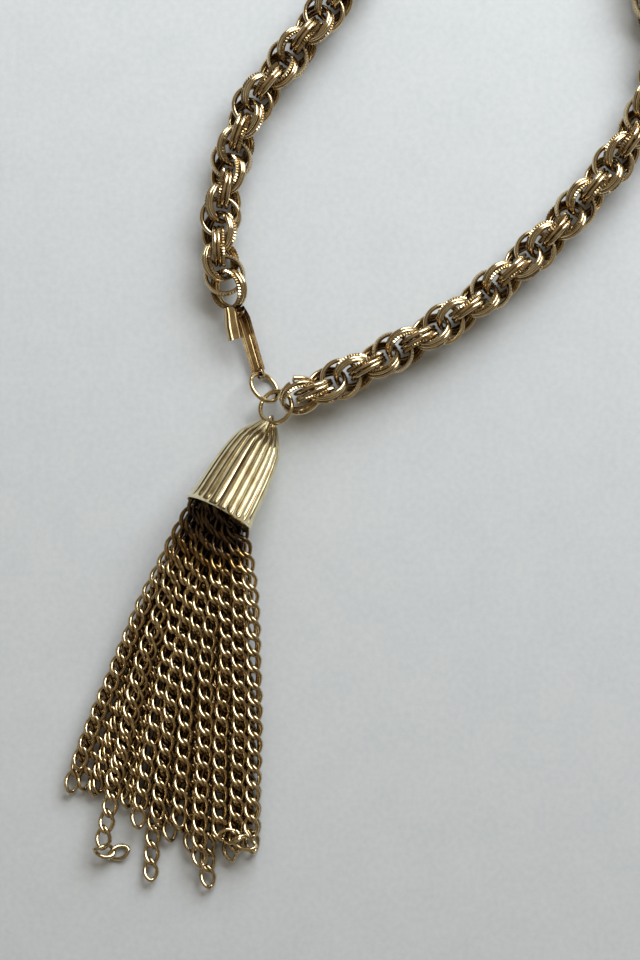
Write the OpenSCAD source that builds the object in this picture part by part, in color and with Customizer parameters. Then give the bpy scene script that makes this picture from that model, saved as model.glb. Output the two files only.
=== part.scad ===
// Tassel necklace, lying on a flat surface.
// A rope chain of ring groups, closed by a hook, with a fluted bell and a chain tassel.
// Millimetres. The origin is on the surface, under the middle of the centre ring.
// +Z is up, and +Y runs from the tassel towards the far end of the loop.

/* [Rope chain] */
// Outer radius of one rope ring, to the middle of its wire
link_r = 3.8; // [3.7:0.05:3.9]
// Wire thickness of a rope ring
link_wire = 0.86; // [0.8:0.01:0.88]
// Rings soldered side by side in one group
rings_in_group = 3; // [2:1:3]
// Distance from one group to the next along the rope
group_pitch = 2.95; // [2.9:0.01:3]
// Turn of each group about the rope, from the last one
group_turn = 45; // [44:0.5:46]

/* [Jump rings] */
// Radius of the centre ring, to the middle of its wire
centre_ring_r = 3.42; // [3.3:0.02:3.6]
// Wire thickness of the centre ring
centre_ring_wire = 0.87; // [0.7:0.01:0.95]
// Height of the centre ring's middle above the surface
centre_ring_z = 3.5; // [3.4:0.05:3.6]
// Radius of the clasp ring, to the middle of its wire
clasp_ring_r = 3.27; // [3.1:0.02:3.4]
// Wire thickness of the clasp ring
clasp_ring_wire = 0.86; // [0.7:0.01:0.95]

/* [Hook] */
// Width of the half-round strip
hook_width = 2.3; // [2.1:0.05:2.5]
// Depth of the half-round strip, from its rims to its back
hook_depth = 0.9; // [0.8:0.05:0.95]
// Sheet thickness of the strip
hook_wall = 0.4; // [0.3:0.05:0.45]
// Length of the short leg past the bend
hook_tongue = 6.6; // [5:0.1:8]
// Opening angle of the short leg
hook_flare = 6; // [3:0.5:8]
// Radius of the eye, to the middle of its wire
hook_eye_r = 0.98; // [0.95:0.01:1.1]
// Wire thickness of the eye
hook_eye_wire = 0.6; // [0.5:0.02:0.64]

/* [Bell] */
// Length of the bell along its axis
bell_length = 21; // [19:0.1:22]
// Outer radius of the bell's hem
bell_hem_r = 7; // [6.8:0.05:7.2]
// Radius of the bell's body beside the hem
bell_body_r = 6; // [5.4:0.05:6.6]
// Outer radius at the hole in the bell's top
bell_top_r = 1.75; // [1.6:0.05:1.9]
// Thickness of the bell's sheet metal
bell_wall = 0.4; // [0.35:0.05:0.5]
// Number of flutes round the bell
flutes = 20; // [14:1:22]
// Height of the flutes, from groove to crest
flute_height = 0.5; // [0.2:0.05:0.6]

/* [Tassel] */
// Width of one tassel chain
strand_width = 2.7; // [2.4:0.1:2.9]
// Thickness of one tassel chain
strand_thick = 1.8; // [1.6:0.1:2]
// Wire thickness of the loop that holds the bell and tassel
cap_loop_wire = 0.5; // [0.45:0.01:0.52]
// Inner radius of the loop's round end
cap_loop_inner = 0.62; // [0.6:0.01:0.65]

/* [Fits] */
// Gap between the hook's rims and the rings held in it
hook_gap = 0.15; // [0.14:0.01:0.18]
// Gap between the bell and what is inside it
bell_gap = 0.3; // [0.2:0.05:0.5]

/* [Hidden] */

antique_gold = [0.56, 0.46, 0.27];
aged_brass = [0.47, 0.4, 0.27];
pale_gold = [0.8, 0.66, 0.36];
dull_bronze = [0.5, 0.4, 0.22];
fine = 48;

// The rope's way round, in plan, from the centre ring to the hook.
rope_route = [
    [5.3, 1.7], [12, 4.6], [21.5, 9.4], [31.5, 14.7], [41, 21.2], [51, 29.6], [61, 39.8], [69, 49.5],
    [74.5, 58], [77.5, 67], [78, 75], [76, 84], [73, 94], [73.5, 105], [79, 117], [83, 131],
    [81, 147], [71, 161], [55, 169], [37, 168], [22, 158], [14, 143], [14, 127], [18.5, 113],
    [20, 100], [15.5, 87], [9, 78], [2, 69.2], [-4, 61.4], [-7.6, 53.3], [-9.8, 45.1],
    [-11, 37], [-11, 30], [-9.3, 23.5]
];

// Where each tassel chain ends on the surface, in plan, from left to right.
// Columns: end x, end y, place across the bell's mouth from -1 to 1, layer.
tassel_ends = [
    [-42.2, -79, -1, 0], [-37.3, -79.5, -0.78, 0], [-30.5, -82, -0.56, 0], [-25.5, -97, -0.34, 0],
    [-21.5, -89, -0.12, 0], [-17, -91.5, 0.12, 0], [-13.7, -98.5, 0.34, 0], [-9, -93, 0.56, 0],
    [-6.8, -89, 0.78, 0], [-4.7, -91.5, 1, 0],
    [-40.3, -74, -1, 1], [-35.2, -90, -0.8, 1], [-33.5, -78, -0.6, 1], [-28, -86, -0.4, 1],
    [-24, -84.5, -0.2, 1], [-19.5, -86, 0, 1], [-15.3, -94, 0.25, 1], [-11.2, -86.5, 0.5, 1],
    [-8, -91, 0.75, 1], [-5, -88, 1, 1]
];

function unit(v) = v / norm(v);
function flat(p, z) = [p.x, p.y, z];
// A transform that puts local X, Y and Z along x, y and z, at p.
function pose(x, y, z, p) = [
    [x.x, y.x, z.x, p.x], [x.y, y.y, z.y, p.y], [x.z, y.z, z.z, p.z], [0, 0, 0, 1]
];
// v without its part along the unit vector d.
function across(v, d) = unit(v - (v * d) * d);

// A smooth curve through the points of a route.
spans = len(rope_route) - 1;
steps = 10;
function at_route(i) = rope_route[max(0, min(spans, i))];
function on_span(i, t) =
    let (a = at_route(i - 1), b = at_route(i), c = at_route(i + 1), d = at_route(i + 2))
    0.5 * (2 * b + (c - a) * t + (2 * a - 5 * b + 4 * c - d) * t * t
    + (3 * b - a - 3 * c + d) * t * t * t);
rope_curve = [for (i = [0:spans - 1], k = [0:steps - 1]) on_span(i, k / steps), at_route(spans)];
rope_run = [
    for (i = 0, s = 0; i < len(rope_curve); i = i + 1,
        s = s + (i < len(rope_curve) ? norm(rope_curve[i] - rope_curve[i - 1]) : 0)) s
];
rope_length = rope_run[len(rope_run) - 1];
x_by_run = [for (i = [0:len(rope_run) - 1]) [rope_run[i], rope_curve[i].x]];
y_by_run = [for (i = [0:len(rope_run) - 1]) [rope_run[i], rope_curve[i].y]];
function rope_at(s) = [lookup(s, x_by_run), lookup(s, y_by_run)];

// Four groups make one pattern of the rope, and the last group leans as the first does.
groups_in_pattern = 4;
group_count = 1 + groups_in_pattern * round(rope_length / (groups_in_pattern * group_pitch));
real_pitch = rope_length / (group_count - 1);
first_lean = 45;
// Soldered rings sink a little into each other.
solder_share = 0.975;
ring_step = solder_share * link_wire;
group_half = (rings_in_group - 1) / 2 * ring_step + link_wire / 2;
rope_z = link_r + link_wire / 2;
look = 1.5;

function group_middle(k) = flat(rope_at(k * real_pitch), rope_z);
function group_along(k) =
    unit(flat(rope_at(k * real_pitch + look) - rope_at(k * real_pitch - look), 0));
function group_lean(k) = first_lean + group_turn * k;
// In the plane of the rings, across the rope.
function group_across(k) =
    let (t = group_along(k), a = group_lean(k))
    [-t.y * cos(a), t.x * cos(a), sin(a)];
function group_pose(k) =
    let (t = group_along(k), u = group_across(k))
    pose(t, u, cross(t, u), group_middle(k));

// The centre ring lies tilted, with its side at the clasp ring low.
centre_ring_yaw = 50;
centre_ring_tilt = 28;
centre_ring_place = [0.25, -0.35];
centre_ring_pose =
    let (e = [cos(centre_ring_yaw), sin(centre_ring_yaw), 0],
        s = [-sin(centre_ring_yaw), cos(centre_ring_yaw), 0],
        f = s * cos(centre_ring_tilt) - [0, 0, sin(centre_ring_tilt)])
    pose(e, f, cross(e, f), flat(centre_ring_place, centre_ring_z));

// The clasp ring stands on its edge beside it, leaning over.
clasp_ring_way = 130;
clasp_ring_tilt = 50;
clasp_ring_place = [-2.1, 3.65];
clasp_ring_z = clasp_ring_r * sin(clasp_ring_tilt) + clasp_ring_wire / 2;
clasp_ring_m = [cos(clasp_ring_way), sin(clasp_ring_way), 0];
clasp_ring_q = [
    -sin(clasp_ring_way) * cos(clasp_ring_tilt),
    cos(clasp_ring_way) * cos(clasp_ring_tilt),
    sin(clasp_ring_tilt)
];
clasp_ring_middle = flat(clasp_ring_place, clasp_ring_z);
clasp_ring_pose = pose(
    clasp_ring_m, clasp_ring_q, cross(clasp_ring_m, clasp_ring_q), clasp_ring_middle
);

// The hook holds the last group's wires in its throat, and its eye holds the clasp ring.
last = group_count - 1;
held_at = group_middle(last) + link_r * group_along(last);
eye_on_ring = -33;
eye_at = clasp_ring_middle
    + clasp_ring_r * (cos(eye_on_ring) * clasp_ring_m + sin(eye_on_ring) * clasp_ring_q);
throat = 2 * (group_half + hook_gap);
held_from_bend = 0.05;
eye_drop = throat / 2 + hook_depth / 2;
hook_way = unit(eye_at - held_at);
hook_up = across(cross(group_along(last), group_across(last)), hook_way);
hook_reach = sqrt(pow(norm(eye_at - held_at), 2) - pow(eye_drop, 2));
hook_slant = atan2(eye_drop, hook_reach);
hook_x = cos(hook_slant) * hook_way + sin(hook_slant) * hook_up;
hook_y = cos(hook_slant) * hook_up - sin(hook_slant) * hook_way;
hook_pose = pose(hook_x, hook_y, cross(hook_x, hook_y), held_at - held_from_bend * hook_x);
leg_seam = 0.02;
eye_x = held_from_bend + hook_reach;
long_leg = eye_x - hook_eye_r;

// The loop holds the bell's top, and the tassel in its mouth lifts the hem.
bell_top = [-1.3, -4.1];
bell_above_ring = 0.65;
bell_top_z = centre_ring_z + bell_above_ring;
bell_heading = [-0.482, -0.876, 0];
bell_tilt = 12;
// Columns: share of the length from the top, share of the way from the top's radius
// to the body's, share of the flutes' height.
bell_rows = [
    [0, 0, 0], [0.05, 0.16, 0.3], [0.12, 0.36, 0.7], [0.18, 0.54, 1], [0.25, 0.67, 1],
    [0.4, 0.81, 1], [0.55, 0.9, 1], [0.72, 0.965, 1], [0.88, 1, 0.8], [0.93, 1.02, 0.4]
];
hem_width = 1.1;
function bell_r(row) = bell_top_r + row[1] * (bell_body_r - bell_top_r);
bell_profile = [
    for (row = bell_rows) [row[0] * bell_length, bell_r(row), row[2] * flute_height / 2],
    [bell_length - hem_width, bell_body_r + 0.5 * (bell_hem_r - bell_body_r), 0],
    [bell_length, bell_hem_r, 0]
];
bell_axis = unit(bell_heading * cos(bell_tilt) + [0, 0, sin(bell_tilt)]);
bell_side = unit(cross([0, 0, 1], bell_axis));
bell_up = cross(bell_axis, bell_side);
bell_origin = flat(bell_top, bell_top_z);
// Local X runs down the axis, Z is the top side of the lying bell.
bell_pose = pose(bell_axis, bell_side, bell_up, bell_origin);

// The loop passes through the centre ring and the bell's top, and ends in a stop inside.
cap_loop_r = cap_loop_inner + cap_loop_wire / 2;
loop_on_ring = 200;
loop_slack = 0.5;
loop_ring_wire = let (p = centre_ring_pose, c = centre_ring_r * cos(loop_on_ring),
    s = centre_ring_r * sin(loop_on_ring))
    [for (i = [0:2]) p[i][0] * c + p[i][1] * s + p[i][3]];
ring_tangent = let (p = centre_ring_pose, c = -sin(loop_on_ring), s = cos(loop_on_ring))
    [for (i = [0:2]) p[i][0] * c + p[i][1] * s];
loop_way = unit(bell_origin - loop_ring_wire);
loop_round = loop_ring_wire - loop_slack * loop_way;
loop_normal = across(ring_tangent, loop_way);
loop_pose = pose(loop_way, cross(loop_normal, loop_way), loop_normal, loop_round);
stop_depth = 1.5;
stop_thick = 0.6;
stop_overlap = 0.15;
stop_r = bell_top_r - bell_wall + stop_overlap;
loop_legs = norm(bell_origin - loop_round) + stop_depth;

// Rings soldered side by side, lying in the local XY plane.
module ring_group() {
    rotate_extrude($fn = fine)
        for (i = [0:rings_in_group - 1])
            translate([link_r, (i - (rings_in_group - 1) / 2) * ring_step])
                circle(d = link_wire, $fn = 24);
}

module ring(r, wire) {
    rotate_extrude($fn = fine)
        translate([r, 0])
            circle(d = wire, $fn = 24);
}

module rope_chain() {
    color(antique_gold)
        for (k = [0:group_count - 1])
            multmatrix(group_pose(k))
                ring_group();
}

// Half-round strip: the rims lie on x = 0 and the back is at hook_depth.
module strip_section(grow = 0) {
    back_r = (pow(hook_width / 2, 2) + pow(hook_depth, 2)) / (2 * hook_depth);
    difference() {
        translate([hook_depth - back_r, 0])
            circle(r = back_r + grow, $fn = fine);
        translate([hook_depth - back_r, 0])
            circle(r = back_r - hook_wall - grow, $fn = fine);
        translate([-2 * back_r - 1 - grow, -back_r - 1])
            square([2 * back_r + 1, 2 * back_r + 2]);
    }
}

// A leg is a little thicker than the bend and reaches into it, so that they join.
module hook_leg(length) {
    rotate([90, 0, 90])
        translate([throat / 2, 0, -2 * leg_seam])
            linear_extrude(length + 2 * leg_seam)
                strip_section(leg_seam);
}

module hook_clasp() {
    color(pale_gold)
        multmatrix(hook_pose) {
            rotate([180, 0, 0])
                hook_leg(long_leg);
            rotate([0, 0, hook_flare])
                hook_leg(hook_tongue);
            rotate([0, 0, 90 + hook_flare])
                rotate_extrude(angle = 180 - hook_flare, $fn = fine)
                    translate([throat / 2, 0])
                        strip_section();
            translate([eye_x, -eye_drop, 0])
                rotate([90, 0, 0])
                    ring(hook_eye_r, hook_eye_wire);
        }
}

module clasp_ring() {
    color(aged_brass)
        multmatrix(clasp_ring_pose)
            ring(clasp_ring_r, clasp_ring_wire);
}

module centre_ring() {
    color(aged_brass)
        multmatrix(centre_ring_pose)
            ring(centre_ring_r, centre_ring_wire);
}

module cap_loop() {
    color(aged_brass)
        multmatrix(loop_pose) {
            rotate([0, 0, 90])
                rotate_extrude(angle = 180, $fn = fine)
                    translate([cap_loop_r, 0])
                        circle(d = cap_loop_wire, $fn = 24);
            for (side = [-1, 1])
                translate([0, side * cap_loop_r, 0])
                    rotate([0, 90, 0])
                        cylinder(d = cap_loop_wire, h = loop_legs, $fn = 24);
            translate([loop_legs, 0, 0])
                rotate([0, 90, 0])
                    cylinder(r = stop_r, h = stop_thick, $fn = fine);
        }
}

// Sheet-metal bell as rows of points, down the outside and back up the inside.
bell_points_round = 4 * flutes;
module bell_cap() {
    rows = len(bell_profile);
    around = bell_points_round;
    function bell_point(x, r, wave, a) =
        let (rr = r + wave * cos(flutes * a))
        [x, rr * cos(a), rr * sin(a)];
    outside = [
        for (row = bell_profile, j = [0:around - 1])
            bell_point(row[0], row[1], row[2], 360 * j / around)
    ];
    inside = [
        for (i = [rows - 1:-1:0], j = [0:around - 1])
            bell_point(
                bell_profile[i][0], bell_profile[i][1] - bell_wall,
                bell_profile[i][2], 360 * j / around
            )
    ];
    rings = 2 * rows;
    faces = [
        for (i = [0:rings - 1], j = [0:around - 1])
            let (n = (i + 1) % rings, m = (j + 1) % around)
            each [
                [i * around + j, i * around + m, n * around + m],
                [i * around + j, n * around + m, n * around + j]
            ]
    ];
    color(pale_gold)
        multmatrix(bell_pose)
            polyhedron(points = concat(outside, inside), faces = faces, convexity = 6);
}

// The head inside the bell is a short cone, and the strands start on it in two layers.
head_x = 9.5;
head_back = 2;
head_length = 3;
head_top_r = 3.4;
head_r = 4.2;
head_side = 2.2;
head_layer_step = 2.4;
head_low = 1.4;
root_d = 2.2;
waist_d = 1.5;

// One tassel chain as a flat tube, from the head down to its end on the surface.
strand_steps = 11;
neck_from_mouth = 2.6;
neck_x = bell_length - neck_from_mouth;
neck_room = bell_body_r - bell_wall - flute_height / 2 - bell_gap;
mouth_room = bell_hem_r - bell_wall - bell_gap;
neck_up = [-2.2, 0.2];
mouth_up = [-2.6, 0.4];
rest_z = [strand_thick / 2, 1.5 * strand_thick];
function in_bell(x, y, z) = bell_origin + x * bell_axis + y * bell_side + z * bell_up;
// How far to the side a strand may lie in a round room, at a height above the axis.
function side_room(room, up) =
    sqrt(pow(room, 2) - pow(abs(up) + strand_thick / 2, 2)) - strand_width / 2;
function strand_start(row) =
    in_bell(head_x, row[2] * head_side, row[3] * head_layer_step - head_low);
function strand_neck(row) =
    in_bell(neck_x, row[2] * side_room(neck_room, neck_up[row[3]]), neck_up[row[3]]);
function strand_mouth(row) =
    in_bell(bell_length, row[2] * side_room(mouth_room, mouth_up[row[3]]), mouth_up[row[3]]);
function strand_end(row) = [row[0], row[1], rest_z[row[3]]];
fan_middle = 18;
fan_spread = 31;
lead_share = 0.31;
function strand_path(row) =
    let (b = strand_mouth(row), e = strand_end(row), way = fan_middle - fan_spread * row[2],
        lead = lead_share * norm(e - b),
        c = flat([b.x - lead * sin(way), b.y - lead * cos(way)], rest_z[row[3]]))
    concat([strand_start(row), strand_neck(row)], [
        for (k = [0:strand_steps])
            let (t = k / strand_steps)
            pow(1 - t, 2) * b + 2 * t * (1 - t) * c + t * t * e
    ]);

strand_sides = 8;
function strand_ring(path, i) =
    let (n = len(path) - 1, d = unit(path[min(n, i + 1)] - path[max(0, i - 1)]),
        side = unit(cross([0, 0, 1], d)), up = cross(d, side))
    [for (j = [0:strand_sides - 1]) let (a = 360 * (j + 0.5) / strand_sides)
        path[i] + strand_width / 2 * cos(a) * side + strand_thick / 2 * sin(a) * up];
module strand(path) {
    n = strand_sides;
    rings = len(path);
    points = [for (i = [0:rings - 1]) each strand_ring(path, i)];
    sides = [
        for (i = [0:rings - 2], j = [0:n - 1])
            let (m = (j + 1) % n)
            each [[i * n + j, (i + 1) * n + j, i * n + m], [i * n + m, (i + 1) * n + j, (i + 1) * n + m]]
    ];
    caps = [[for (j = [0:n - 1]) j], [for (j = [n - 1:-1:0]) (rings - 1) * n + j]];
    polyhedron(points = points, faces = concat(sides, caps), convexity = 4);
}

module tassel() {
    color(dull_bronze) {
        for (row = tassel_ends) {
            strand(strand_path(row));
            hull() {
                translate(strand_start(row))
                    sphere(d = root_d, $fn = 8);
                translate(strand_neck(row))
                    sphere(d = waist_d, $fn = 8);
            }
        }
        multmatrix(bell_pose)
            translate([head_x - head_back, 0, 0])
                rotate([0, 90, 0])
                    cylinder(r1 = head_top_r, r2 = head_r, h = head_length, $fn = 32);
    }
}

rope_chain();
hook_clasp();
clasp_ring();
centre_ring();
cap_loop();
bell_cap();
tassel();
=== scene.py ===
# %% [markdown]
# # A tassel necklace, link by link
#
# This notebook dresses a gold-tone necklace that lies on a pale surface. The necklace is a thick
# rope chain made of soldered ring groups, closed by a hook on two jump rings, with a fluted bell
# and a tassel of fine chains. The solid model gives every place and size. Each step below makes
# one piece in Blender and says how the real one was made.

# %% Load the solid model
import math
import random

import bpy
import numpy as np
from mathutils import Matrix, Vector


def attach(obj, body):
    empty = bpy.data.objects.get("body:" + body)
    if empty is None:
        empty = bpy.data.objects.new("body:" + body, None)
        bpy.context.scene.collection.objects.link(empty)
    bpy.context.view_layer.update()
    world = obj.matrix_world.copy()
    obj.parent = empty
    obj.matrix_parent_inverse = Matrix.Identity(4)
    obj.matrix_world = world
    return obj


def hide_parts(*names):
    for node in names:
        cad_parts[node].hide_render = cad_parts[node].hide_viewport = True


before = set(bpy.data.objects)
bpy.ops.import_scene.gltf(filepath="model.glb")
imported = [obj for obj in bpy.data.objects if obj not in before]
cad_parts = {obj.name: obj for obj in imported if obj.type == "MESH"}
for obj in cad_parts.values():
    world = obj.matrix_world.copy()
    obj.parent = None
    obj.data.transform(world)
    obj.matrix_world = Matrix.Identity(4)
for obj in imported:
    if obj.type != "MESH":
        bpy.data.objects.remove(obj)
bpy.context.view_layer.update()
mm = 0.001

# %% [markdown]
# Operators work on whatever is selected, so a clean start matters. These helpers deselect
# everything, and finish a piece by baking its place into its mesh and hanging it on the model.
# Each finished piece is also noted in a list, because the lamps at the end light some pieces only.

# %% Two small habits: start clean, finish at the origin
scene = bpy.context.scene
metal_pieces = []


def start_clean():
    if bpy.context.object and bpy.context.object.mode != "OBJECT":
        bpy.ops.object.mode_set(mode="OBJECT")
    for other in bpy.context.selected_objects:
        other.select_set(False)


def only(piece):
    start_clean()
    bpy.context.view_layer.objects.active = piece
    piece.select_set(True)


def put_in_place(piece, name, stands_for, material):
    metal_pieces.append(piece)
    only(piece)
    bpy.ops.object.transform_apply(location=True, rotation=True, scale=True)
    piece.name = name
    piece.data.name = name
    piece.data.materials.clear()
    piece.data.materials.append(material)
    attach(piece, "root")
    if stands_for:
        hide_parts(stands_for)
    print(name, len(piece.data.polygons), "faces")
    return piece


# %% [markdown]
# Every metal here is brass with a thin gold-tone plating. A metal's colour is the colour of its
# reflection, so each material mixes three of them: the bright plating where it is open and rubbed
# clean, a warmer worn brass where it is half shaded, and a dark brown where wires shade each other,
# which is partly tarnish and partly painted shade. Colours are picked as sRGB hex values and turned
# to linear by one function.

# %% Colour and node helpers
def linear(hex_colour):
    parts = [int(hex_colour[i : i + 2], 16) / 255 for i in (1, 3, 5)]
    return tuple(c / 12.92 if c <= 0.04045 else ((c + 0.055) / 1.055) ** 2.4 for c in parts) + (1,)


def add_node(tree, kind, settings=None, inputs=None, links=None):
    node = tree.nodes.new(kind)
    for key, value in (settings or {}).items():
        setattr(node, key, value)
    for key, value in (inputs or {}).items():
        node.inputs[key].default_value = value
    for key, socket in (links or {}).items():
        tree.links.new(socket, node.inputs[key])
    return node


def noise(tree, place, grain_size, detail):
    inputs = {"Scale": 1 / grain_size, "Detail": detail}
    return add_node(tree, "ShaderNodeTexNoise", inputs=inputs, links={"Vector": place}).outputs["Fac"]


def remap(tree, value, low, high, to_low=0.0, to_high=1.0):
    inputs = {"From Min": low, "From Max": high, "To Min": to_low, "To Max": to_high}
    return add_node(tree, "ShaderNodeMapRange", inputs=inputs, links={"Value": value}).outputs[0]


def minus(tree, value, taken):
    settings = {"operation": "SUBTRACT", "use_clamp": True}
    return add_node(tree, "ShaderNodeMath", settings, links={0: value, 1: taken}).outputs[0]


# %% [markdown]
# How clean and how shaded the metal is decides its look, so that is worked out first. Ambient
# occlusion finds the recesses between wires within a given reach, and between two given levels the
# metal goes from dark to bright. The dark is partly tarnish that stays in the hollows and partly
# painted shade. A soft noise of about 2 mm breaks that up. Chains near the bell's mouth also get
# painted shade for the bell's shadow, darker towards that point.

# %% How clean and how shaded the metal is
patch_size, patch_dirt = 2.2 * mm, 0.25
dark_within, dark_until, dark_by = 6 * mm, 14 * mm, 0.75


def clean_and_unshaded(tree, place, shade_and_dirt_reach, shaded, clear, painted_shade_at):
    blotch = noise(tree, place, patch_size, 2.0)
    recess = add_node(tree, "ShaderNodeAmbientOcclusion", {"samples": 6}, {"Distance": shade_and_dirt_reach})
    # The dark end of the occlusion is partly tarnish in the hollows and partly painted shade.
    rubbed_and_unshaded = remap(tree, recess.outputs["AO"], shaded, clear)
    clean_unshaded = minus(tree, rubbed_and_unshaded, remap(tree, blotch, 0.35, 0.7, 0.0, patch_dirt))
    if painted_shade_at:
        # Painted shade near the bell's mouth, where the bell's shadow falls on the chains.
        away = add_node(tree, "ShaderNodeVectorMath", {"operation": "DISTANCE"}, {1: painted_shade_at}, {0: place})
        near = remap(tree, away.outputs["Value"], dark_within, dark_until, dark_by, 0.0)
        clean_unshaded = minus(tree, clean_unshaded, near)
    return clean_unshaded


# %% [markdown]
# That value picks a colour from a ramp of dark brown, worn brass and plating: painted shade and
# tarnish in the hollows, half shade between, and bright plating in the open. Where it is low,
# Metallic falls below a half, so the painted shade reads as a dull brown. A finer noise of about
# 0.25 mm stands for scratches, and `wear` says how much they lift the surface and spread its gloss.
# A thin lacquer coat lies over it all.

# %% Plated brass, from bright plating to tarnish and painted shade
scratch_size, scratch_depth = 0.25 * mm, 0.03 * mm
metallic_until, metallic_least = 0.45, 0.45
glossier, duller = 0.7, 1.3


def plated_brass(name, plating, worn, tarnish_and_shade, roughness, shade_and_dirt, lacquer, wear=0.07, painted_shade_at=None):
    material = bpy.data.materials.new(name)
    material.use_nodes = True
    tree = material.node_tree
    shader = tree.nodes["Principled BSDF"]
    shader.inputs["Coat Weight"].default_value = lacquer
    shader.inputs["Coat Roughness"].default_value = 0.08
    place = add_node(tree, "ShaderNodeTexCoord").outputs["Object"]
    clean_unshaded = clean_and_unshaded(tree, place, *shade_and_dirt, painted_shade_at)
    # The ramp paints shade: its dark end is painted shade and tarnish, its middle stop half shade.
    colours = add_node(tree, "ShaderNodeValToRGB", links={0: clean_unshaded})
    stops = colours.color_ramp.elements
    stops[0].color = linear(tarnish_and_shade)
    stops[1].color = linear(plating)
    stops.new(0.5).color = linear(worn)
    tree.links.new(colours.outputs[0], shader.inputs["Base Color"])
    # Metallic falls where the shade and tarnish are painted, which makes them a dull brown.
    metallic_share = remap(tree, clean_unshaded, 0.0, metallic_until, metallic_least, 1.0)
    tree.links.new(metallic_share, shader.inputs["Metallic"])
    scratch = noise(tree, place, scratch_size, 2.0)
    gloss = remap(tree, scratch, 0.3, 0.7, roughness - glossier * wear, roughness + duller * wear)
    tree.links.new(gloss, shader.inputs["Roughness"])
    lift = {"Strength": wear, "Distance": scratch_depth}
    bump = add_node(tree, "ShaderNodeBump", inputs=lift, links={"Height": scratch})
    tree.links.new(bump.outputs[0], shader.inputs["Normal"])
    print(name, "plating", plating, "tarnish_and_shade", tarnish_and_shade)
    return material


# %% [markdown]
# Five finishes come from it. The bell is the best kept, smooth and almost free of dirt and painted
# shade, and the tassel's fine wire has the most tarnish and painted shade. In each call the shade
# and dirt numbers are reach, shaded and clear.

# %% The five finishes
# Gold-plated brass wire, its plating worn by handling.
rope_gold = plated_brass(
    "rope_gold_worn_plating", "#e2d0a6", "#a07c46", "#2e1807", 0.15, shade_and_dirt=(1.8 * mm, 0.05, 0.85), lacquer=0.6
)
# Gold-plated brass sheet, still bright.
bell_gold = plated_brass(
    "bell_gold_bright_plating",
    "#efe4ba",
    "#b08d49",
    "#463014",
    0.12,
    shade_and_dirt=(0.6 * mm, 0.1, 0.88),
    lacquer=0.6,
    wear=0.02,
)
# Plain brass wire that has gone dull.
ring_brass = plated_brass(
    "ring_brass_dulled", "#d6c294", "#94723c", "#2e1c0a", 0.17, shade_and_dirt=(1.0 * mm, 0.1, 0.85), lacquer=0.4
)
# Brass strip, rubbed smooth where fingers open and close the hook.
hook_brass = plated_brass(
    "hook_brass_rubbed",
    "#e2cb98",
    "#8a5f22",
    "#3e2208",
    0.14,
    shade_and_dirt=(2.4 * mm, 0.3, 0.98),
    lacquer=0.5,
    wear=0.02,
)
# Fine brass wire, with painted shade from the bell's shadow near the bell's mouth.
tassel_mouth = (-11.2 * mm, -22.1 * mm, 7.0 * mm)
tassel_brass = plated_brass(
    "tassel_wire_warm_brass",
    "#dfcba0",
    "#9a7840",
    "#221108",
    0.14,
    shade_and_dirt=(2.0 * mm, 0.02, 0.8),
    lacquer=0.45,
    painted_shade_at=tassel_mouth,
)

# %% [markdown]
# The rope chain follows a smooth route round the wearer's neck. A few points are enough, because
# a Catmull-Rom curve passes through each of them, and the same curve places the solid rings.

# %% The rope's route
rope_route = [
    (5.3, 1.7), (12, 4.6), (21.5, 9.4), (31.5, 14.7), (41, 21.2), (51, 29.6), (61, 39.8), (69, 49.5),
    (74.5, 58), (77.5, 67), (78, 75), (76, 84), (73, 94), (73.5, 105), (79, 117), (83, 131),
    (81, 147), (71, 161), (55, 169), (37, 168), (22, 158), (14, 143), (14, 127), (18.5, 113),
    (20, 100), (15.5, 87), (9, 78), (2, 69.2), (-4, 61.4), (-7.6, 53.3), (-9.8, 45.1),
    (-11, 37), (-11, 30), (-9.3, 23.5),
]


def smooth_route(points, steps=10):
    points = [np.array(p, float) for p in points]
    padded = [points[0]] + points + [points[-1]]
    curve = []
    for i in range(len(points) - 1):
        a, b, c, d = padded[i : i + 4]
        for k in range(steps):
            t = k / steps
            curve.append(
                0.5
                * (2 * b + (c - a) * t + (2 * a - 5 * b + 4 * c - d) * t**2 + (3 * b - a - 3 * c + d) * t**3)
            )
    curve.append(points[-1])
    return np.array(curve)


def run_along(curve):
    steps = np.linalg.norm(np.diff(curve, axis=0), axis=1)
    return np.concatenate([[0], np.cumsum(steps)])


def point_at(distance, run, curve):
    return np.array([np.interp(distance, run, column) for column in curve.T])


rope_curve = smooth_route(rope_route)
rope_run = run_along(rope_curve)


def rope_at(distance):
    return point_at(distance, rope_run, rope_curve)


print("rope length", round(rope_run[-1], 1), "mm")

# %% [markdown]
# A rope chain looks plaited, but it is simpler: small groups of rings, each turned an eighth of a
# circle from the last, so four groups make one pattern. In each group three rings are soldered
# side by side, and one of them was cut with a coin edge before it was closed. That milled ring
# gives the chain its glitter.

# %% Where each ring group sits
link_r, link_wire, solder_share = 3.8, 0.86, 0.975
ring_step = solder_share * link_wire
group_pitch, eighth_turn, look_aside = 2.95, 45, 1.5
group_count = 1 + 4 * round(rope_run[-1] / (4 * group_pitch))
real_pitch = rope_run[-1] / (group_count - 1)


def group_frame(k):
    middle = rope_at(k * real_pitch)
    ahead = rope_at(k * real_pitch + look_aside) - rope_at(k * real_pitch - look_aside)
    along = np.append(ahead / np.linalg.norm(ahead), 0)
    lean = math.radians(eighth_turn * (k + 1))
    across = np.array([-along[1] * math.cos(lean), along[0] * math.cos(lean), math.sin(lean)])
    axis = np.cross(along, across)
    return along, across, axis, np.append(middle, link_r + link_wire / 2)


def pose(x, y, z, place):
    rows = [[x[i], y[i], z[i], place[i] * mm] for i in range(3)] + [[0, 0, 0, 1]]
    return Matrix(rows)


rope_groups = [group_frame(k) for k in range(group_count)]
print(group_count, "ring groups,", round(real_pitch, 3), "mm apart")

# %% [markdown]
# What repeats is modelled once. The pattern's points are then copied to every place with numpy,
# which is quick, and the copies end as one mesh per kind of ring.

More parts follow.
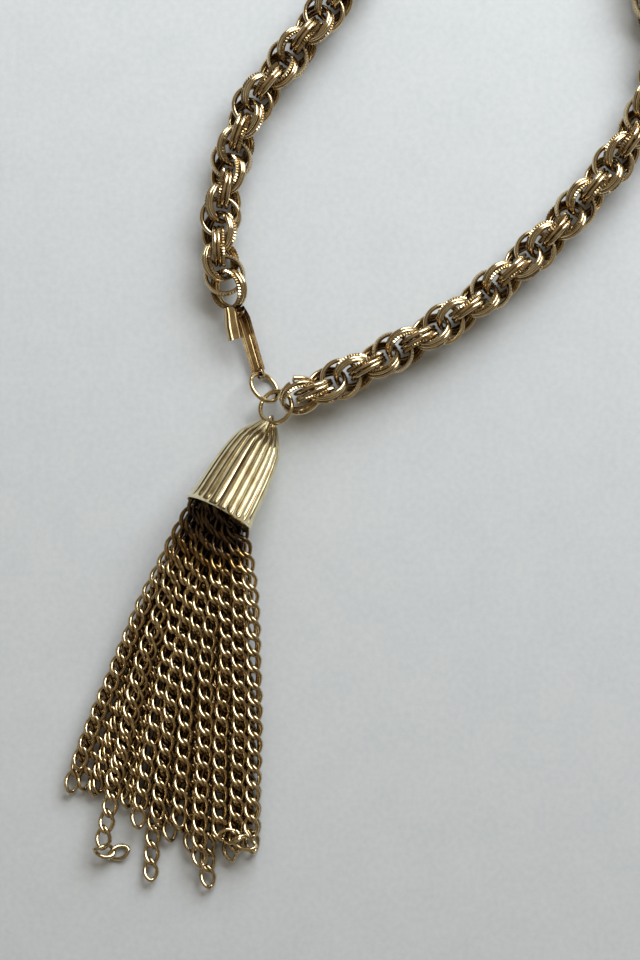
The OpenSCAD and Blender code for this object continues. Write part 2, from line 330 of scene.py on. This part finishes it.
# %% Copying one pattern to many places
def laid_out(name, pattern, places, smooth=True):
    points = np.array([v.co for v in pattern.data.vertices])
    faces = [tuple(f.vertices) for f in pattern.data.polygons]
    all_points, all_faces = [], []
    for place in places:
        m = np.array(place)
        base = len(all_points) * len(points)
        all_points.append(points @ m[:3, :3].T + m[:3, 3])
        all_faces += [tuple(i + base for i in f) for f in faces]
    mesh = bpy.data.meshes.new(name)
    mesh.from_pydata(np.concatenate(all_points).tolist(), [], all_faces)
    mesh.polygons.foreach_set("use_smooth", [smooth] * len(mesh.polygons))
    mesh.update()
    piece = bpy.data.objects.new(name, mesh)
    scene.collection.objects.link(piece)
    bpy.data.objects.remove(pattern)
    return piece


# %% [markdown]
# A plain ring is a torus of round wire. It could be a curve with a bevel, but a torus primitive
# already has even faces. In a real chain no two rings stand quite alike, so each leans by up to
# 2.6 degrees. A seeded generator gives the same lean on every run.

# %% Plain rope rings
start_clean()
plain_wire = 0.91
bpy.ops.mesh.primitive_torus_add(
    major_segments=36, minor_segments=8, major_radius=link_r * mm, minor_radius=plain_wire / 2 * mm
)
plain_ring = bpy.context.object
loose = random.Random(3)
loose_turn = 2.6


def ring_place(group, side):
    t, u, w, c = group
    lean_t, lean_u = (math.radians(loose.uniform(-loose_turn, loose_turn)) for _ in range(2))
    axis = w + math.tan(lean_t) * u + math.tan(lean_u) * t
    axis /= np.linalg.norm(axis)
    way = t - (t @ axis) * axis
    way /= np.linalg.norm(way)
    return pose(way, np.cross(axis, way), axis, c + w * ring_step * side)


plain_places = [ring_place(group, side) for group in rope_groups for side in (-1, 0)]
opened_place = plain_places.pop(0)
rope_plain = laid_out("rope_plain_rings", plain_ring, plain_places)
put_in_place(rope_plain, "rope_plain_rings", "rope_chain", rope_gold)

# %% [markdown]
# One ring of the first group, of thicker wire, has sprung open. A small disc is spun almost the
# whole way round. The last stretch is then eased outwards and a little to the side, so that its
# cut end shows.

# %% The opened ring, spun
start_clean()
opened_wire, opened_round = 1.1, 352
bpy.ops.mesh.primitive_circle_add(
    vertices=12,
    radius=opened_wire / 2 * mm,
    fill_type="NGON",
    location=(link_r * mm, 0, 0),
    rotation=(math.radians(90), 0, 0),
)
opened_ring = bpy.context.object
bpy.ops.object.transform_apply(location=True, rotation=True, scale=True)
bpy.ops.object.mode_set(mode="EDIT")
bpy.ops.mesh.select_all(action="SELECT")
bpy.ops.mesh.spin(
    steps=44, angle=math.radians(opened_round), center=(0, 0, 0), axis=(0, 0, 1), use_auto_merge=False
)
bpy.ops.mesh.select_all(action="SELECT")
bpy.ops.mesh.normals_make_consistent(inside=False)
bpy.ops.object.mode_set(mode="OBJECT")
print("opened ring", opened_round, "degrees round")

# %% [markdown]
# The spin's first disc can measure a hair under 360 degrees. Those points belong to the fixed
# start, so a turn past 355 degrees isn't moved.

# %% The opened ring, sprung
sprung_from, sprung_out, sprung_aside, start_past, gap_at = 290, 0.95, 0.15, 355, 95
for v in opened_ring.data.vertices:
    turn = math.degrees(math.atan2(v.co.y, v.co.x)) % 360
    share = min(1, max(0, (turn - sprung_from) / (opened_round - sprung_from))) if turn < start_past else 0
    spoke = Vector((v.co.x, v.co.y, 0)).normalized()
    v.co += (spoke * sprung_out - Vector((0, 0, sprung_aside))) * mm * share**2
only(opened_ring)
bpy.ops.object.shade_smooth_by_angle(angle=math.radians(45))
opened_ring.data.transform(opened_place @ Matrix.Rotation(math.radians(gap_at), 4, "Z"))
put_in_place(opened_ring, "rope_opened_ring", "rope_chain", rope_gold)

# %% [markdown]
# The milled ring has 42 notches pressed across its outer edge. Every second loop of the torus is
# drawn in a little, which leaves a row of small beads that catch the light one by one.

# %% Milled rope rings
start_clean()
milled_segments = 84
notch_depth = 0.22
outer_edge = 0.995 * link_r * mm
bpy.ops.mesh.primitive_torus_add(
    major_segments=milled_segments,
    minor_segments=6,
    major_radius=link_r * mm,
    minor_radius=link_wire / 2 * mm,
)
milled_ring = bpy.context.object
for v in milled_ring.data.vertices:
    turn = round(math.atan2(v.co.y, v.co.x) / (2 * math.pi / milled_segments)) % milled_segments
    spoke = Vector((v.co.x, v.co.y, 0)).normalized()
    if turn % 2 and math.hypot(v.co.x, v.co.y) > outer_edge:
        v.co -= spoke * notch_depth * mm
milled_places = [ring_place(group, 1) for group in rope_groups]
rope_milled = laid_out("rope_milled_rings", milled_ring, milled_places, smooth=False)
put_in_place(rope_milled, "rope_milled_rings", "rope_chain", rope_gold)

# %% [markdown]
# Jump rings are cut from a coil of wire and bent shut, so each has a seam. The two rings lie
# tilted against each other. The seam is drawn as a narrow groove by pinching one loop, and the
# wire is a little thicker than the solid model's.

# %% The two jump rings
centre_ring_r, centre_ring_wire, centre_ring_z = 3.42, 0.87, 3.5
clasp_ring_r, clasp_ring_wire, clasp_tilt = 3.27, 0.86, 50
wire_swell, seam_half, seam_pinch = 1.09, 1.9, 0.78


def ring_pose(yaw, tilt, sign, place):
    e = np.array([math.cos(math.radians(yaw)), math.sin(math.radians(yaw)), 0])
    s = np.array([-e[1], e[0], 0])
    f = s * math.cos(math.radians(tilt)) + np.array([0, 0, sign * math.sin(math.radians(tilt))])
    return e, f, np.cross(e, f), np.array(place, float)


def jump_ring(name, stands_for, radius, wire, ring_frame, seam_at):
    start_clean()
    bpy.ops.mesh.primitive_torus_add(
        major_segments=96,
        minor_segments=16,
        major_radius=radius * mm,
        minor_radius=wire_swell * wire / 2 * mm,
    )
    ring = bpy.context.object
    for v in ring.data.vertices:
        turn = math.degrees(math.atan2(v.co.y, v.co.x)) % 360
        if abs(turn - seam_at) < seam_half:
            spoke = Vector((v.co.x, v.co.y, 0)).normalized() * radius * mm
            v.co = spoke + (v.co - spoke) * seam_pinch
    bpy.ops.object.shade_smooth()
    ring.data.transform(pose(*ring_frame))
    return put_in_place(ring, name, stands_for, ring_brass)


centre_frame = ring_pose(50, 28, -1, (0.25, -0.35, centre_ring_z))
clasp_ring_z = clasp_ring_r * math.sin(math.radians(clasp_tilt)) + clasp_ring_wire / 2
clasp_frame = ring_pose(130, clasp_tilt, 1, (-2.1, 3.65, clasp_ring_z))
jump_ring("centre_jump_ring", "centre_ring", centre_ring_r, centre_ring_wire, centre_frame, 105)
jump_ring("clasp_jump_ring", "clasp_ring", clasp_ring_r, clasp_ring_wire, clasp_frame, 30)

# %% [markdown]
# The hook is bent from a half-round strip, hollow towards the rings that it holds. Its section is
# drawn once, pushed out along the short leg, spun round the bend and pushed on along the long leg.
# The same distances as in the solid model place its throat on the last ring group.

# %% The hook's own axes
hook_width, hook_depth, hook_wall, hook_tongue, hook_flare = 2.3, 0.9, 0.4, 6.6, 6
hook_eye_r, hook_eye_wire, hook_gap = 0.98, 0.6, 0.15
group_half = ring_step + link_wire / 2
throat = 2 * (group_half + hook_gap)
last_along, _, last_axis, last_middle = rope_groups[-1]
held_at = last_middle + link_r * last_along
m_dir, q_dir, _, ring_middle = clasp_frame
eye_turn = math.radians(-33)
eye_at = ring_middle + clasp_ring_r * (math.cos(eye_turn) * m_dir + math.sin(eye_turn) * q_dir)
eye_drop = throat / 2 + hook_depth / 2
held_from_bend = 0.05
hook_way = (eye_at - held_at) / np.linalg.norm(eye_at - held_at)
hook_up = last_axis - (last_axis @ hook_way) * hook_way
hook_up /= np.linalg.norm(hook_up)
hook_reach = math.sqrt(np.linalg.norm(eye_at - held_at) ** 2 - eye_drop**2)
slant = math.atan2(eye_drop, hook_reach)
hook_x = math.cos(slant) * hook_way + math.sin(slant) * hook_up
hook_y = math.cos(slant) * hook_up - math.sin(slant) * hook_way
hook_pose = pose(hook_x, hook_y, np.cross(hook_x, hook_y), held_at - held_from_bend * hook_x)
eye_x = held_from_bend + hook_reach
print("long leg", round(eye_x - hook_eye_r, 1), "mm, throat", round(throat, 2), "mm")

# %% The hook's section
def strip_section(steps=12):
    back_r = ((hook_width / 2) ** 2 + hook_depth**2) / (2 * hook_depth)
    centre = hook_depth - back_r
    outer_half = math.acos(-centre / back_r)
    inner_r = back_r - hook_wall
    inner_half = math.acos(max(-1, -centre / inner_r))

    def arc(radius, from_angle, to_angle):
        angles = np.linspace(from_angle, to_angle, steps)
        return [(centre + radius * math.cos(a), radius * math.sin(a)) for a in angles]

    return arc(back_r, -outer_half, outer_half) + arc(inner_r, inner_half, -inner_half)


section = strip_section()
flare = math.radians(hook_flare)
tip_way = Vector((math.cos(flare), math.sin(flare), 0))
out_way = Vector((-math.sin(flare), math.cos(flare), 0))
start_points = [
    (tip_way * hook_tongue + out_way * (throat / 2 + depth) + Vector((0, 0, width))) * mm
    for depth, width in section
]
hook_mesh = bpy.data.meshes.new("hook")
hook_mesh.from_pydata([tuple(p) for p in start_points], [], [tuple(range(len(section)))])
hook = bpy.data.objects.new("hook", hook_mesh)
scene.collection.objects.link(hook)
print("section of", len(section), "points")

# %% The hook's strip, extruded and spun
only(hook)
bpy.ops.object.mode_set(mode="EDIT")
bpy.ops.mesh.select_all(action="SELECT")
tongue_rows, leg_rows = 8, 16
for _ in range(tongue_rows):
    step = -tip_way * hook_tongue / tongue_rows * mm
    bpy.ops.mesh.extrude_region_move(TRANSFORM_OT_translate={"value": tuple(step)})
bpy.ops.mesh.spin(
    steps=16,
    angle=math.pi - flare,
    center=(0, 0, 0),
    axis=(0, 0, 1),
    use_auto_merge=False,
    use_normal_flip=False,
)
for _ in range(leg_rows):
    step = (eye_x - hook_eye_r) / leg_rows * mm
    bpy.ops.mesh.extrude_region_move(TRANSFORM_OT_translate={"value": (step, 0, 0)})
bpy.ops.mesh.select_all(action="SELECT")
bpy.ops.mesh.remove_doubles(threshold=0.002 * mm)
bpy.ops.mesh.normals_make_consistent(inside=False)
bpy.ops.object.mode_set(mode="OBJECT")
print("hook strip", len(hook.data.polygons), "faces")

# %% [markdown]
# Both legs are wider than the bend, where the strip was squeezed narrow. They are also twisted by
# some twenty degrees, which turns their hollow side towards a viewer above. Each change grows over
# a stretch past the bend, and each leg twists about its own middle.

# %% The hook's legs, widened and twisted
leg_swell, leg_twist, leg_middle = 0.36, 22, (throat + hook_depth) / 2
swell_stretch, twist_stretch = (-0.9, 1.8), (0.3, 3.0)
facing_up = math.copysign(1, np.cross(hook_x, hook_y)[2])
for v in hook.data.vertices:
    grown = float(np.interp(v.co.x / mm, swell_stretch, (0, 1)))
    turned = float(np.interp(v.co.x / mm, twist_stretch, (0, 1)))
    middle = -leg_middle if v.co.y < 0 else leg_middle + v.co.x / mm * math.tan(flare)
    turn = facing_up * math.radians(leg_twist) * turned
    y, z = v.co.y - middle * mm, v.co.z * (1 + leg_swell * grown)
    v.co.y = middle * mm + y * math.cos(turn) - z * math.sin(turn)
    v.co.z = y * math.sin(turn) + z * math.cos(turn)
print("hook strip box", [tuple(round(x / mm, 2) for x in c) for c in (hook.bound_box[0], hook.bound_box[6])])

# %% The hook's eye
start_clean()
bpy.ops.mesh.primitive_torus_add(
    major_segments=40,
    minor_segments=12,
    major_radius=hook_eye_r * mm,
    minor_radius=hook_eye_wire / 2 * mm,
    location=(eye_x * mm, -eye_drop * mm, 0),
    rotation=(math.radians(90), 0, 0),
)
hook.select_set(True)
bpy.context.view_layer.objects.active = hook
bpy.ops.object.join()
only(hook)
bpy.ops.object.shade_smooth_by_angle(angle=math.radians(40))
hook.data.transform(hook_pose)
put_in_place(hook, "hook_and_eye", "hook_clasp", hook_brass)

# %% [markdown]
# The bell was stamped from thin sheet. Its shape is a round one with twenty flutes pressed in,
# which meet in a point at the top and run out into a plain hem. A circle is extruded row by row
# and sized to the profile, and the flutes are then pressed in by moving each point along its
# radius. Solidify gives the sheet its thickness.

# %% The bell's axes and profile
bell_length, bell_hem_r, bell_body_r, bell_top_r, bell_wall = 21.0, 7.0, 6.0, 1.75, 0.4
flutes, flute_height, flute_round, bell_lift = 20, 0.6, 0.7, 0.65
bell_heading = np.array([-0.482, -0.876, 0])
bell_heading /= np.linalg.norm(bell_heading)
bell_tilt = math.radians(12)
bell_axis = bell_heading * math.cos(bell_tilt) + np.array([0, 0, math.sin(bell_tilt)])
bell_side = np.cross([0, 0, 1], bell_axis)
bell_side /= np.linalg.norm(bell_side)
bell_up = np.cross(bell_axis, bell_side)
bell_origin = np.array([-1.3, -4.1, centre_ring_z + bell_lift])
bell_rows = [
    (0, 0, 0), (0.05, 0.16, 0.3), (0.12, 0.36, 0.7), (0.18, 0.54, 1), (0.25, 0.67, 1),
    (0.4, 0.81, 1), (0.55, 0.9, 1), (0.72, 0.965, 1), (0.82, 1, 1),
]
flare_rows = [
    (0.87, 0.07, 1), (0.91, 0.2, 1), (0.94, 0.38, 0.9), (0.965, 0.58, 0.6), (0.985, 0.8, 0.2), (1, 1, 0),
]


def widened(rows, from_r, to_r):
    return [(share * bell_length, from_r + grow * (to_r - from_r), wave) for share, grow, wave in rows]


bell_profile = widened(bell_rows, bell_top_r, bell_body_r) + widened(flare_rows, bell_body_r, bell_hem_r)
print("bell profile of", len(bell_profile), "rows")

# %% The bell, extruded row by row
start_clean()
around = 8 * flutes
bpy.ops.mesh.primitive_circle_add(vertices=around, radius=bell_profile[0][1] * mm, location=(0, 0, 0))
bell = bpy.context.object
bpy.ops.object.mode_set(mode="EDIT")
bpy.ops.mesh.select_all(action="SELECT")
for before, after in zip(bell_profile, bell_profile[1:]):
    bpy.ops.mesh.extrude_region_move(TRANSFORM_OT_translate={"value": (0, 0, (after[0] - before[0]) * mm)})
    grow = after[1] / before[1]
    bpy.ops.transform.resize(value=(grow, grow, 1), center_override=(0, 0, 0))
bpy.ops.object.mode_set(mode="OBJECT")
print("bell", around, "points round")

# %% The flutes and the sheet
rows_x = [row[0] for row in bell_profile]
for v in bell.data.vertices:
    wave = np.interp(v.co.z / mm, rows_x, [row[2] for row in bell_profile])
    turn = math.atan2(v.co.y, v.co.x)
    lobe = 2 * abs(math.cos(flutes * turn / 2)) ** flute_round - 1
    radius = math.hypot(v.co.x, v.co.y)
    press = (radius + wave * flute_height / 2 * mm * lobe) / radius
    v.co.x *= press
    v.co.y *= press
sheet = bell.modifiers.new("sheet", "SOLIDIFY")
sheet.thickness = bell_wall * mm
sheet.offset = -1
only(bell)
bpy.ops.object.modifier_apply(modifier="sheet")
bpy.ops.object.mode_set(mode="EDIT")
bpy.ops.mesh.select_all(action="SELECT")
bpy.ops.mesh.normals_make_consistent(inside=False)
bpy.ops.object.mode_set(mode="OBJECT")
bpy.ops.object.shade_smooth_by_angle(angle=math.radians(50))
bell.data.transform(pose(bell_side, bell_up, bell_axis, bell_origin))
put_in_place(bell, "fluted_bell", "bell_cap", bell_gold)

# %% [markdown]
# A loop of thin wire hangs the tassel. It goes over the centre ring's wire and down through the
# hole in the bell. It is a curve with a round bevel, turned into a mesh.

# %% The loop's path over the ring
cap_loop_wire, cap_loop_inner, loop_slack, loop_past_hole = 0.5, 0.62, 0.5, 1.8
cap_loop_r = cap_loop_inner + cap_loop_wire / 2
ce, cf, _, cc = centre_frame
loop_turn = math.radians(200)
ring_wire = cc + centre_ring_r * (math.cos(loop_turn) * ce + math.sin(loop_turn) * cf)
ring_tangent = -math.sin(loop_turn) * ce + math.cos(loop_turn) * cf
loop_way = (bell_origin - ring_wire) / np.linalg.norm(bell_origin - ring_wire)
loop_round = ring_wire - loop_slack * loop_way
loop_normal = ring_tangent - (ring_tangent @ loop_way) * loop_way
loop_normal /= np.linalg.norm(loop_normal)
loop_out = np.cross(loop_normal, loop_way)
loop_legs = np.linalg.norm(bell_origin - loop_round) + loop_past_hole
loop_path = [loop_round + loop_way * loop_legs + loop_out * cap_loop_r]
for a in np.linspace(0, math.pi, 17):
    loop_path.append(loop_round + cap_loop_r * (math.cos(a) * loop_out - math.sin(a) * loop_way))
loop_path.append(loop_round + loop_way * loop_legs - loop_out * cap_loop_r)
print("loop path of", len(loop_path), "points")

# %% The loop's wire
line = bpy.data.curves.new("loop", "CURVE")
line.dimensions = "3D"
line.bevel_depth = cap_loop_wire / 2 * mm
line.bevel_resolution = 4
line.use_fill_caps = True
stretch = line.splines.new("POLY")
stretch.points.add(len(loop_path) - 1)
for point, p in zip(stretch.points, loop_path):
    point.co = (*(p * mm), 1)
loop = bpy.data.objects.new("loop", line)
scene.collection.objects.link(loop)
only(loop)
bpy.ops.object.convert(target="MESH")
loop = bpy.context.object
bpy.ops.object.shade_smooth()
put_in_place(loop, "tassel_loop", "cap_loop", ring_brass)

# %% [markdown]
# The tassel is a bundle of fine curb chains. A curb link is an oval of round wire that was
# twisted until the whole chain lies flat, which is why only slanting strokes show. The link is
# modelled once: a torus, drawn long, then twisted with a Simple Deform modifier.

# %% One curb link
link_pitch, curb_width, curb_length, curb_wire = 3.37, 3.6, 5.5, 0.92
curb_twist, curb_turn = -114, 11
start_clean()
bpy.ops.mesh.primitive_torus_add(
    major_segments=20,
    minor_segments=6,
    major_radius=(curb_width - curb_wire) / 2 * mm,
    minor_radius=curb_wire / 2 * mm,
)
curb_link = bpy.context.object
reach = (curb_length - curb_width) / 2 * mm
for v in curb_link.data.vertices:
    v.co.x += reach * v.co.x / math.hypot(v.co.x, v.co.y)
twist = curb_link.modifiers.new("twist", "SIMPLE_DEFORM")
twist.deform_method = "TWIST"
twist.deform_axis = "X"
twist.angle = math.radians(curb_twist)
only(curb_link)
bpy.ops.object.modifier_apply(modifier="twist")
curb_link.data.transform(Matrix.Rotation(math.radians(curb_turn), 4, "Z"))
print("curb link", [round(x / mm, 2) for x in curb_link.dimensions], "mm")

# %% [markdown]
# The chains come out of the bell's mouth, drop to the surface and fan out in two layers. A row
# gives where a chain ends, its place across the mouth from -1 to 1, and its layer. The first
# table has the solid model's twenty chains. The second fills the gaps under them, so that the fan
# looks as full as a real one. Two chains have a loose end that bends aside.

# %% The tassel's tables
tassel_ends = [
    (-42.2, -79, -1, 0), (-37.3, -79.5, -0.78, 0), (-30.5, -82, -0.56, 0), (-25.5, -97, -0.34, 0),
    (-21.5, -89, -0.12, 0), (-17, -91.5, 0.12, 0), (-13.7, -98.5, 0.34, 0), (-9, -93, 0.56, 0),
    (-6.8, -89, 0.78, 0), (-4.7, -91.5, 1, 0),
    (-40.3, -74, -1, 1), (-35.2, -90, -0.8, 1), (-33.5, -78, -0.6, 1), (-28, -86, -0.4, 1),
    (-24, -84.5, -0.2, 1), (-19.5, -86, 0, 1), (-15.3, -94, 0.25, 1), (-11.2, -86.5, 0.5, 1),
    (-8, -91, 0.75, 1), (-5, -88, 1, 1),
]
tassel_fill = [
    (-39.6, -78.5, -0.89, 0), (-33.8, -80.5, -0.67, 0), (-28.6, -82.5, -0.45, 0), (-23.5, -86, -0.23, 0),
    (-19.2, -87, 0, 0), (-15.6, -88, 0.23, 0), (-11.6, -89, 0.45, 0), (-7.9, -88.5, 0.67, 0),
    (-5.6, -86, 0.9, 0), (-36.4, -79, -0.8, 0), (-31.8, -80.5, -0.6, 0),
]
loose_ends = {
    (-35.2, -90): [(-32.6, -91.3, 0.9), (-29.4, -90.2, 0.9)],
    (-11.2, -86.5): [(-7.6, -87.6, 4.4), (-3.6, -89.8, 4.0)],
}
print(len(tassel_ends), "chains and", len(tassel_fill), "that fill the gaps")

# %% [markdown]
# A chain's path starts just inside the bell, then bends in one smooth curve from the mouth to its
# end. The curve leaves the mouth in a direction that fans out to both sides, and a gentle wave
# keeps the chains from lying ruler-straight.

# %% A chain's path
strand_width, strand_thick, bell_gap, link_lift = 2.7, 1.8, 0.3, 0.35
neck_up, mouth_up, neck_inset = (-2.2, 0.2), (-2.6, 0.4), 2.6
fan_middle, fan_right, fan_left, lead_share = 18, 31, 15, 0.31
sway_range, beat_range, edge_place, edge_sway = (0.15, 0.5), (1.3, 2.6), 0.95, 0.4
rest_z = (strand_thick / 2 + link_lift, 1.5 * strand_thick + link_lift)
neck_room = bell_body_r - bell_wall - flute_height / 2 - bell_gap
mouth_room = bell_hem_r - bell_wall - bell_gap
dice = random.Random(7)


def in_bell(x, room, place, up):
    side_room = math.sqrt(room**2 - (abs(up) + strand_thick / 2) ** 2) - strand_width / 2
    return bell_origin + x * bell_axis + place * side_room * bell_side + up * bell_up


def strand_path(end_x, end_y, place, layer):
    neck = in_bell(bell_length - neck_inset, neck_room, place, neck_up[layer])
    mouth = in_bell(bell_length, mouth_room, place, mouth_up[layer])
    end = np.array([end_x, end_y, rest_z[layer]])
    way = math.radians(fan_middle - (fan_right if place > 0 else fan_left) * place)
    lead = lead_share * np.linalg.norm(end - mouth)
    turn = np.array([mouth[0] - lead * math.sin(way), mouth[1] - lead * math.cos(way), rest_z[layer]])
    t = np.linspace(0, 1, 40)[:, None]
    path = (1 - t) ** 2 * mouth + 2 * t * (1 - t) * turn + t**2 * end
    sway, beat, start = dice.uniform(*sway_range), dice.uniform(*beat_range), dice.uniform(0, 2 * math.pi)
    wave = sway * np.sin(math.pi * t[:, 0]) * np.sin(2 * math.pi * beat * t[:, 0] + start)
    path[:, 0] += wave if abs(place) < edge_place else edge_sway * wave
    tail = loose_ends.get((end_x, end_y), [])
    return np.concatenate([[neck], path, *[[p] for p in tail]])


# %% [markdown]
# Links are set out from each chain's end upwards, one pitch apart. Every chain gets its own small
# roll and every link a little more, as fine chains never lie quite flat.

# %% The tassel's links
roll_range, shake_range = 12, 10
link_places = []
for row in tassel_ends + tassel_fill:
    path = strand_path(*row)
    run = run_along(path)
    count = int((run[-1] - curb_length / 2) / link_pitch)
    roll = dice.uniform(-roll_range, roll_range)
    for k in range(count + 1):
        s = run[-1] - curb_length / 2 - k * link_pitch
        here = point_at(s, run, path)
        ahead = point_at(s + 1, run, path) - point_at(s - 1, run, path)
        ahead /= np.linalg.norm(ahead)
        side = np.cross([0, 0, 1], ahead)
        side /= np.linalg.norm(side)
        up = np.cross(ahead, side)
        a = math.radians(roll + dice.uniform(-shake_range, shake_range))
        across = side * math.cos(a) + up * math.sin(a)
        over = up * math.cos(a) - side * math.sin(a)
        link_places.append(pose(ahead, across, over, here))
tassel = laid_out("tassel_chains", curb_link, link_places)
put_in_place(tassel, "tassel_chains", "tassel", tassel_brass)
print(len(link_places), "curb links")

# %% [markdown]
# The surface is a smooth painted board, nearly white, with a faint mottle and a fine grain. It
# isn't part of the necklace.

# %% The surface
start_clean()
bpy.ops.mesh.primitive_plane_add(size=7, location=(0, 0, -0.02 * mm))
board = bpy.context.object
board.name = "board"
# Matt paint on board, two near tints mixed by a coarse and a fine noise.
board_paint = bpy.data.materials.new("board_matt_paint")
board_paint.use_nodes = True
paint_tree = board_paint.node_tree
paint = paint_tree.nodes["Principled BSDF"]
paint_place = add_node(paint_tree, "ShaderNodeTexCoord").outputs["Object"]
mottle_size, grain_size, grain_share = 9 * mm, 1.2 * mm, 0.65
mottle = noise(paint_tree, paint_place, mottle_size, 4.0)
grain = noise(paint_tree, paint_place, grain_size, 2.0)
uneven = add_node(
    paint_tree, "ShaderNodeMix", {"data_type": "FLOAT"}, {0: grain_share}, {2: mottle, 3: grain}
)
tint = add_node(paint_tree, "ShaderNodeMix", {"data_type": "RGBA"}, links={0: uneven.outputs[0]})
tint.inputs[6].default_value = linear("#bcc3c7")
tint.inputs[7].default_value = linear("#d7dadb")
paint_tree.links.new(tint.outputs[2], paint.inputs["Base Color"])
paint.inputs["Roughness"].default_value = 0.6
board.data.materials.append(board_paint)
print("board", [round(side, 1) for side in board.dimensions[:2]], "m")

# %% [markdown]
# A low camera looks past the board, so a pale round wall closes the room. Only the camera sees
# it: the metal still reflects the dim brown room, which gives the wires their dark flanks.

# %% The wall
start_clean()
bpy.ops.mesh.primitive_cylinder_add(
    vertices=96, radius=3.3, depth=4, location=(0, 0, 1.9), end_fill_type="NOTHING"
)
wall = bpy.context.object
wall.name = "far_wall"
# Plain wall paint, drawn as an even glow so that no lamp changes it.
wall_paint = bpy.data.materials.new("wall_plain_paint")
wall_paint.use_nodes = True
plain = wall_paint.node_tree.nodes["Principled BSDF"]
plain.inputs["Base Color"].default_value = (0, 0, 0, 1)
plain.inputs["Specular IOR Level"].default_value = 0
plain.inputs["Emission Color"].default_value = linear("#c9cccc")
plain.inputs["Emission Strength"].default_value = 0.8
wall.data.materials.append(wall_paint)
for sense in ("visible_diffuse", "visible_glossy", "visible_transmission", "visible_shadow"):
    setattr(wall, sense, False)
print("wall", round(wall.dimensions.z, 1), "m high")

# %% [markdown]
# Lamps are rectangles of soft light. Light linking lets a lamp shine on chosen pieces only, as a
# photographer's flags and narrow reflectors do.

# %% Lamp helpers
def soft_light(name, place, aim, size, power, colour="#ffffff", along=None):
    lamp = bpy.data.lights.new(name, "AREA")
    lamp.shape = "RECTANGLE"
    lamp.size, lamp.size_y = size
    lamp.energy = power
    lamp.color = linear(colour)[:3]
    holder = bpy.data.objects.new(name, lamp)
    holder.location = place
    away = (Vector(place) - Vector(aim)).normalized()
    long_side = (along or Vector((0, 0, 1))).normalized()
    long_side = (long_side - long_side.dot(away) * away).normalized()
    turn = Matrix((long_side.cross(away), long_side, away)).transposed()
    holder.rotation_euler = turn.to_euler()
    scene.collection.objects.link(holder)
    return holder


def shine_only_on(lamp, name, pieces):
    lit = bpy.data.collections.new(name)
    for piece in pieces:
        lit.objects.link(piece)
    lamp.light_linking.receiver_collection = lit


# %% [markdown]
# The photograph was taken by a window. One large soft light from the upper right makes the
# highlights and the soft shadows to the lower left, and a weak wide one lifts the board alone.
# Such a large light would wash out the bell's flutes and the hook's flat legs, so those two are
# lit by narrow strips that lie along the bell. Each strip draws bright lines along the flutes.

# %% The lamps
lit_by_window = [piece for piece in metal_pieces + [board] if piece not in (bell, hook)]
window = soft_light("window", (0.3, 0.58, 0.44), (0, 0, 0), (0.7, 0.5), 9.0, "#f7fbff")
shine_only_on(window, "all_but_bell_and_hook", lit_by_window)
ceiling = soft_light("ceiling", (-0.15, 0.42, 0.3), (0, 0.1, 0), (0.7, 0.7), 1.1)
shine_only_on(ceiling, "board_only", [board])
bell_line, bell_cross = Vector((0.48, 0.88, 0)), Vector((0.88, -0.48, 0))
strip_aim, strip_length = bell_line * 0.15, 1.3
strips = [
    ("strip_left", bell, 0.06, -0.36, 0.55, 0.22),
    ("strip_middle", bell, 0.06, 0.09, 0.55, 0.62),
    ("strip_right", bell, 0.06, 0.3, 0.4, 2.1),
    ("strip_low", bell, 0.06, 0.5, 0.2, 1.1),
    ("hook_left", hook, 0.12, -0.4, 0.4, 2.2),
    ("hook_right", hook, 0.12, 0.42, 0.5, 0.7),
]
for name, piece, wide, aside, height, power in strips:
    place = strip_aim + bell_cross * aside + Vector((0, 0, height))
    strip = soft_light(name, place, strip_aim, (wide, strip_length), power, along=bell_line)
    shine_only_on(strip, name + "_only", [piece])
print("window, ceiling and", len(strips), "strips")

# %% [markdown]
# A dim brown world fills the rest. It is darker towards the horizon, so the flanks of round wires
# reflect a dark room.

# %% The room
world = bpy.data.worlds.new("room")
scene.world = world
world.use_nodes = True
sky = world.node_tree
backdrop = sky.nodes["Background"]
direction = add_node(sky, "ShaderNodeTexCoord")
split = add_node(sky, "ShaderNodeSeparateXYZ", links={0: direction.outputs["Generated"]})
ramp = add_node(sky, "ShaderNodeValToRGB", links={0: split.outputs["Z"]})
ramp.color_ramp.elements[0].position = 0.0
ramp.color_ramp.elements[0].color = linear("#54432f")
ramp.color_ramp.elements[1].position = 0.9
ramp.color_ramp.elements[1].color = linear("#d8c8b0")
sky.links.new(ramp.outputs[0], backdrop.inputs["Color"])
backdrop.inputs["Strength"].default_value = 0.4
print("room lit at strength", round(backdrop.inputs["Strength"].default_value, 2))

# %% [markdown]
# The camera looks straight down from about 45 cm, as a hand-held phone does. Its sensor's long
# side is the picture's height, which takes in 196 mm of the board.

# %% Camera
camera_height, sensor_side, seen_side = 0.45, 36, 0.1959
lens_data = bpy.data.cameras.new("camera")
camera = bpy.data.objects.new("camera", lens_data)
scene.collection.objects.link(camera)
camera.location = (9.18 * mm, -15.1 * mm, camera_height)
lens_data.sensor_fit = "AUTO"
lens_data.sensor_width = sensor_side
lens_data.lens = sensor_side * camera_height / seen_side
lens_data.clip_start = 0.01
scene.camera = camera
scene.view_settings.view_transform = "Standard"
print("lens", round(lens_data.lens, 1), "mm")
